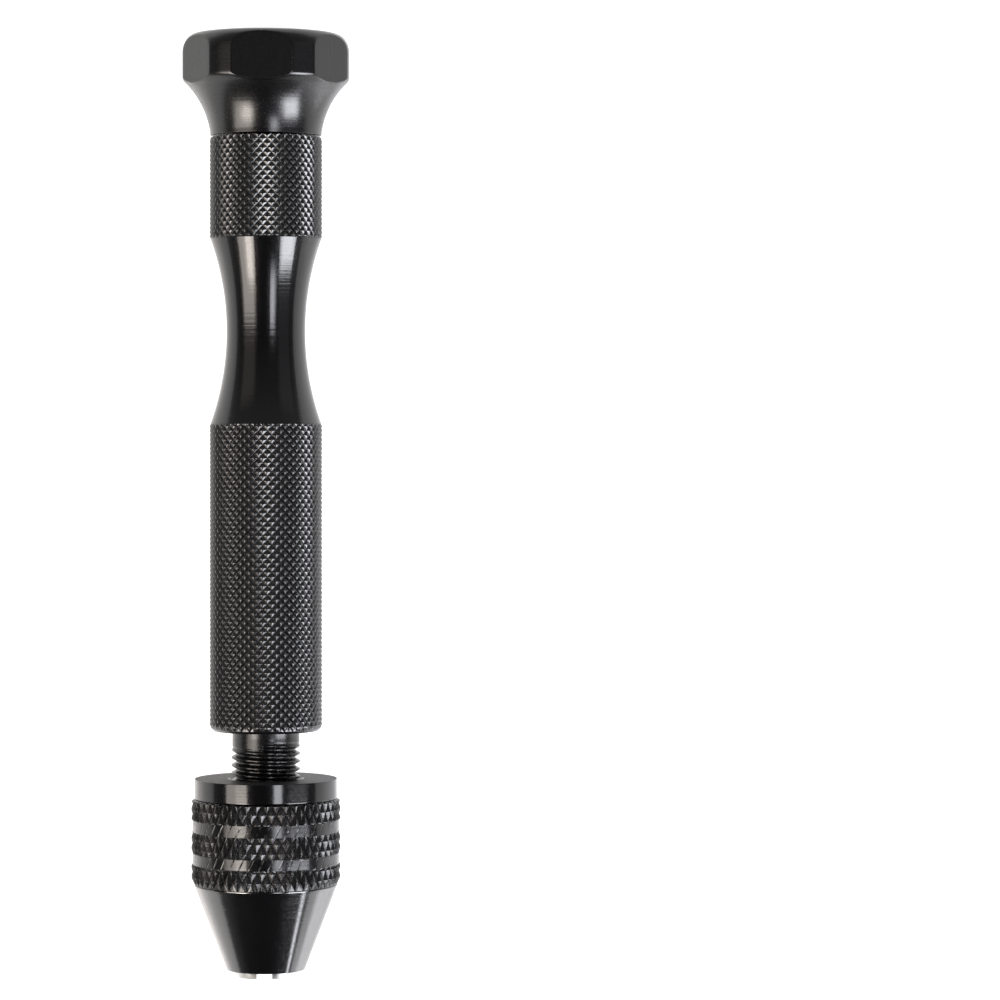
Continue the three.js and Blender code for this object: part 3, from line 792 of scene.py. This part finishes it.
def sleeve_row(station, angles):
    edge = min(station - SLEEVE_START, SLEEVE_END - station)
    limit = min(SLEEVE_RADIUS, NOSE_BASE_RADIUS + SLEEVE_BEVEL_SLOPE * edge)
    row = knurled_row(
        station, SLEEVE_RADIUS, angles, SLEEVE_DIAMONDS, SLEEVE_PITCH, SLEEVE_START, SLEEVE_DEPTH,
        SLEEVE_CREST)
    if any(low < station < high for low, high in PLAIN_BANDS):
        return [(s, SLEEVE_PLAIN_RADIUS, a) for s, _, a in row]
    return [(s, min(r, limit), a) for s, r, a in row]


def sleeve_stations():
    lines = set(
        knurl_stations(SLEEVE_START, SLEEVE_END, SLEEVE_PITCH, SLEEVE_CREST, SLEEVE_START))
    for low, high in PLAIN_BANDS:
        lines |= {low - BAND_EDGE, low + BAND_EDGE, high - BAND_EDGE, high + BAND_EDGE}
        lines |= {low + (high - low) * k / BAND_STEPS for k in range(1, BAND_STEPS)}
    return sorted(lines)


def build_sleeve():
    angles = knurl_angles(SLEEVE_DIAMONDS, SLEEVE_CREST)
    rows = [ring_row(SLEEVE_START, SLEEVE_LIP_RADIUS, angles)]
    rows += [sleeve_row(station, angles) for station in sleeve_stations()]
    inside = [
        (SLEEVE_END, NOSE_SOCKET_RADIUS), (NOSE_SOCKET_START, NOSE_SOCKET_RADIUS),
        (NOSE_SOCKET_START, CHAMBER_RADIUS), (SLEEVE_LIP_END, CHAMBER_RADIUS),
        (SLEEVE_LIP_END, SLEEVE_LIP_RADIUS)]
    rows += [ring_row(station, r, angles) for station, r in inside]
    verts, faces = grid(rows)

    def is_plain(centre, _):
        return 0 if any(low < TOP - centre.y < high for low, high in PLAIN_BANDS) else 1

    make_object(
        "knurled_sleeve", verts, faces, (STEEL_BLACK_BAND, STEEL_BLACK_KNURL), "sleeve",
        "chuck_sleeve", is_plain)


def build_nose():
    tail_bore_end = NOSE_END - (NOSE_TAIL_BORE - NOSE_MOUTH_RADIUS) / NOSE_SLOPE
    outline = [
        (NOSE_TAIL_START, NOSE_TAIL_BORE), (NOSE_TAIL_START, NOSE_TAIL_RADIUS),
        (NOSE_START, NOSE_TAIL_RADIUS), (NOSE_START, NOSE_BASE_RADIUS),
        (NOSE_START + NOSE_RIM, NOSE_BASE_RADIUS),
        (NOSE_END, NOSE_TIP_RADIUS), (NOSE_END, NOSE_MOUTH_RADIUS),
        (tail_bore_end, NOSE_TAIL_BORE)]
    turned("nose_hood", outline, (STEEL_BLACK_NOSE,), "sleeve", "chuck_nose_cone")


# ---------------------------------------------------------------- jaws


def jaw_outline(reach):
    """Outline of a closed jaw, (radial, sideways) points, whose back is an arc of radius reach."""
    point = JAW_CLOSED - JAW_LAND / math.tan(JAW_HALF_ANGLE)
    back_angle = JAW_HALF_ANGLE - math.asin(point * math.sin(JAW_HALF_ANGLE) / reach)
    turns = [back_angle * (1 - 2 * k / JAW_STEPS) for k in range(JAW_STEPS + 1)]
    arc = [(reach * math.cos(turn), reach * math.sin(turn)) for turn in turns]
    return [(JAW_CLOSED, -JAW_LAND), (JAW_CLOSED, JAW_LAND)] + arc


def jaw_back(station):
    """Radius of a closed jaw's back, which fits the inner cone."""
    return NOSE_MOUTH_RADIUS + (NOSE_END - station) * NOSE_SLOPE - JAW_GAP


def jaw_point(u, t, station, angle):
    x = u * math.cos(angle) - t * math.sin(angle)
    z = u * math.sin(angle) + t * math.cos(angle)
    return (AXIS_X + x, TOP - station, AXIS_Z + z)


def jaw_block(verts, faces, start, end, half_width, angle):
    """Adds a block of the jaw's T-shaped tenon."""
    base = len(verts)
    low, high = (value + JAW_OPENING for value in TENON_SPAN)
    for station in (start, end):
        for u, t in ((low, -half_width), (low, half_width), (high, half_width), (high, -half_width)):
            verts.append(jaw_point(u, t, station, angle))
    sides = [(k, (k + 1) % 4, (k + 1) % 4 + 4, k + 4) for k in range(4)]
    faces += [tuple(base + i for i in face) for face in sides + [(3, 2, 1, 0), (4, 5, 6, 7)]]


def jaw_sections(start, end):
    """(station, reach) of the cross-sections of a closed jaw, from its rear to its tip."""
    rear_end = NOSE_END - (JAW_REAR_RADIUS + JAW_GAP - NOSE_MOUTH_RADIUS) / NOSE_SLOPE
    return [
        (start, JAW_REAR_RADIUS - JAW_REAR_CHAMFER), (start + JAW_REAR_CHAMFER, JAW_REAR_RADIUS),
        (rear_end, JAW_REAR_RADIUS), (end - JAW_CHAMFER, jaw_back(end - JAW_CHAMFER)),
        (end, jaw_back(end) - JAW_CHAMFER)]


def build_jaw(index):
    setback = JAW_OPENING / NOSE_SLOPE
    angle = FIRST_JAW_ANGLE + 2 * math.pi * index / JAW_COUNT
    sections = jaw_sections(JAW_START + setback, JAW_END + setback)
    verts, faces = [], []
    for station, reach in sections:
        outline = jaw_outline(reach)
        verts += [jaw_point(u + JAW_OPENING, t, station - setback, angle) for u, t in outline]
    count = len(outline)
    for j in range(len(sections) - 1):
        for i in range(count):
            a, b = j * count + i, j * count + (i + 1) % count
            faces.append((a, b, b + count, a + count))
    faces.append(tuple(range(count)))
    faces.append(tuple(reversed(range((len(sections) - 1) * count, len(sections) * count))))
    jaw_block(verts, faces, TENON_START, JAW_START - TENON_GAP, TENON_NECK, angle)
    jaw_block(verts, faces, TENON_START, TENON_HEAD_END, TENON_HEAD, angle)
    body = JAW_BODIES[index]
    make_object(f"gripping_jaw_{index + 1}", verts, faces, (STEEL_BRIGHT,), body, f"jaw_{index + 1}")


# ---------------------------------------------------------------- hidden pieces


BRIGHT_PIECES = ("ball", "ring", "washer", "carrier")


def dress_hidden_pieces():
    """The CAD solids of the inner pieces stay, with finished materials."""
    for name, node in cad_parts.items():
        if name == "ball_cage":
            material = CAGE_BRASS
        elif any(word in name for word in BRIGHT_PIECES):
            material = STEEL_BRIGHT
        else:
            continue
        node.data.materials.clear()
        node.data.materials.append(material)


# ---------------------------------------------------------------- stage, lights and camera


# Light of its own that the pale table gives, as a light table does under small products. Its smooth top
# mirrors the soft boxes at low angles.
FLOOR_GLOW = 0.93
FLOOR_ROUGHNESS = 0.2
FLOOR_COLOURS = ((0.38, 0.38, 0.38), (0.42, 0.42, 0.42))
FLOOR_HALF = 4000


def build_floor():
    material, tree, shader = new_material("floor_pale")
    shader.inputs["Roughness"].default_value = FLOOR_ROUGHNESS
    shader.inputs["Emission Color"].default_value = (1, 1, 1, 1)
    shader.inputs["Emission Strength"].default_value = FLOOR_GLOW
    clouds = noise(tree, scaled_position(tree, FLOOR_CLOUDS), 1.0)
    tree.links.new(mix_colours(tree, clouds, *FLOOR_COLOURS), shader.inputs["Base Color"])
    mesh = bpy.data.meshes.new("floor")
    half = FLOOR_HALF * MM
    corners = ((-half, -half), (half, -half), (half, half), (-half, half))
    mesh.from_pydata([(x, y, cad_box[0][2]) for x, y in corners], [], [(0, 1, 2, 3)])
    mesh.materials.append(material)
    floor = bpy.data.objects.new("floor", mesh)
    bpy.context.scene.collection.objects.link(floor)


def softbox(name, high_edge, low_edge, along, radiance, colour):
    """Flat soft light that faces the tool, between two edges: (x, z) places that run along Y."""
    high = Vector((high_edge[0], 0, high_edge[1])) * MM
    low = Vector((low_edge[0], 0, low_edge[1])) * MM
    centre = (high + low) / 2 + Vector((0, sum(along) / 2 * MM, 0))
    across = (low - high).normalized()
    away = across.cross(Vector((0, 1, 0)))
    if away.dot(centre) < 0:
        across, away = -across, -away
    light = bpy.data.lights.new(name, "AREA")
    light.shape = "RECTANGLE"
    light.size = (low - high).length
    light.size_y = (along[1] - along[0]) * MM
    light.energy = radiance * math.pi * light.size * light.size_y
    light.color = colour
    lamp = bpy.data.objects.new(name, light)
    lamp.matrix_world = Matrix((across, (0, 1, 0), away)).transposed().to_4x4()
    lamp.location = centre
    bpy.context.scene.collection.objects.link(lamp)


# Brightness of the room around the tool: a grey horizon, paler on the left and in front, and a dark
# ceiling, paler towards the cap's end. The fades are ranges of the height or the Y of a direction.
HORIZON_LEFT = 0.25
HORIZON_RIGHT = 0.15
HORIZON_BEHIND = 0.6
HORIZON_TURN = (-0.2, 1)
CEILING_FRONT = 0.01
CEILING_BEHIND = 0.25
CEILING_FADE = (0.1, 0.6)
HORIZON_FADE = (0.05, 0.4)


def build_world():
    world = bpy.data.worlds.new("studio")
    bpy.context.scene.world = world
    world.use_nodes = True
    tree = world.node_tree
    coordinates = tree.nodes.new("ShaderNodeTexCoord")
    split = tree.nodes.new("ShaderNodeSeparateXYZ")
    tree.links.new(coordinates.outputs["Generated"], split.inputs["Vector"])
    sides = ramp(tree, split.outputs["X"], HORIZON_LEFT, HORIZON_RIGHT, (-1, 1))
    ends = ramp(tree, split.outputs["Y"], 1, HORIZON_BEHIND, HORIZON_TURN)
    low = ramp(tree, split.outputs["Z"], 1, 0, HORIZON_FADE)
    ceiling = ramp(tree, split.outputs["Y"], CEILING_FRONT, CEILING_BEHIND, CEILING_FADE)
    horizon = maths(tree, "MULTIPLY", maths(tree, "MULTIPLY", sides, ends), low)
    strength = maths(tree, "ADD", horizon, ceiling)
    background = tree.nodes["Background"]
    background.inputs["Color"].default_value = (1, 1, 1, 1)
    tree.links.new(strength, background.inputs["Strength"])


WARM = (1.0, 0.92, 0.85)
COOL = (0.93, 0.94, 1.0)


# Name, higher and lower edge, span along Y, brightness and colour of each soft light.
SOFTBOXES = (
    ("left_softbox", (-130, 260), (-255, 139), (-195, 10), 6.5, WARM),
    ("left_core", (-128, 256), (-192, 194), (-190, -60), 12.0, WARM),
    ("right_softbox", (150, 190), (250, 85), (-216, -66), 19.0, COOL),
    ("left_glow", (-130, 260), (-255, 139), (10, 150), 0.45, WARM),
    ("right_glow", (150, 190), (250, 85), (-66, 150), 0.25, COOL),
    ("high_strip", (80, 285), (140, 265), (-95, 18), 11.0, COOL),
    ("low_strip", (206, 60), (212, 34), (-252, -205), 8.0, COOL),
)


def build_lights():
    for box in SOFTBOXES:
        softbox(*box)
    build_world()


# Metres, except the shift, which is a share of the view's width.
CAMERA_DISTANCE = 0.39
VIEW_WIDTH = 0.10204
SIDE_OFFSET = 0.02388
FOOT_ABOVE_MIDDLE = 0.0087
CAMERA_SHIFT = -0.08
SENSOR = 36.0


def build_camera():
    """Looks straight down, to the side of the tool. The shift moves the framing."""
    camera = bpy.data.cameras.new("camera")
    camera.sensor_width = SENSOR
    camera.lens = SENSOR * CAMERA_DISTANCE / VIEW_WIDTH
    camera.shift_y = CAMERA_SHIFT
    eye = bpy.data.objects.new("camera", camera)
    eye.location = (SIDE_OFFSET, FOOT_ABOVE_MIDDLE, AXIS_Z * MM + CAMERA_DISTANCE)
    bpy.context.scene.collection.objects.link(eye)
    bpy.context.scene.camera = eye


# ---------------------------------------------------------------- assembly

build_camera()
build_lights()
build_floor()
build_cap()
build_handle()
build_stud()
build_chuck_body()
build_sleeve()
build_nose()
for number in range(JAW_COUNT):
    build_jaw(number)
dress_hidden_pieces()
bpy.context.scene.view_settings.view_transform = "Standard"
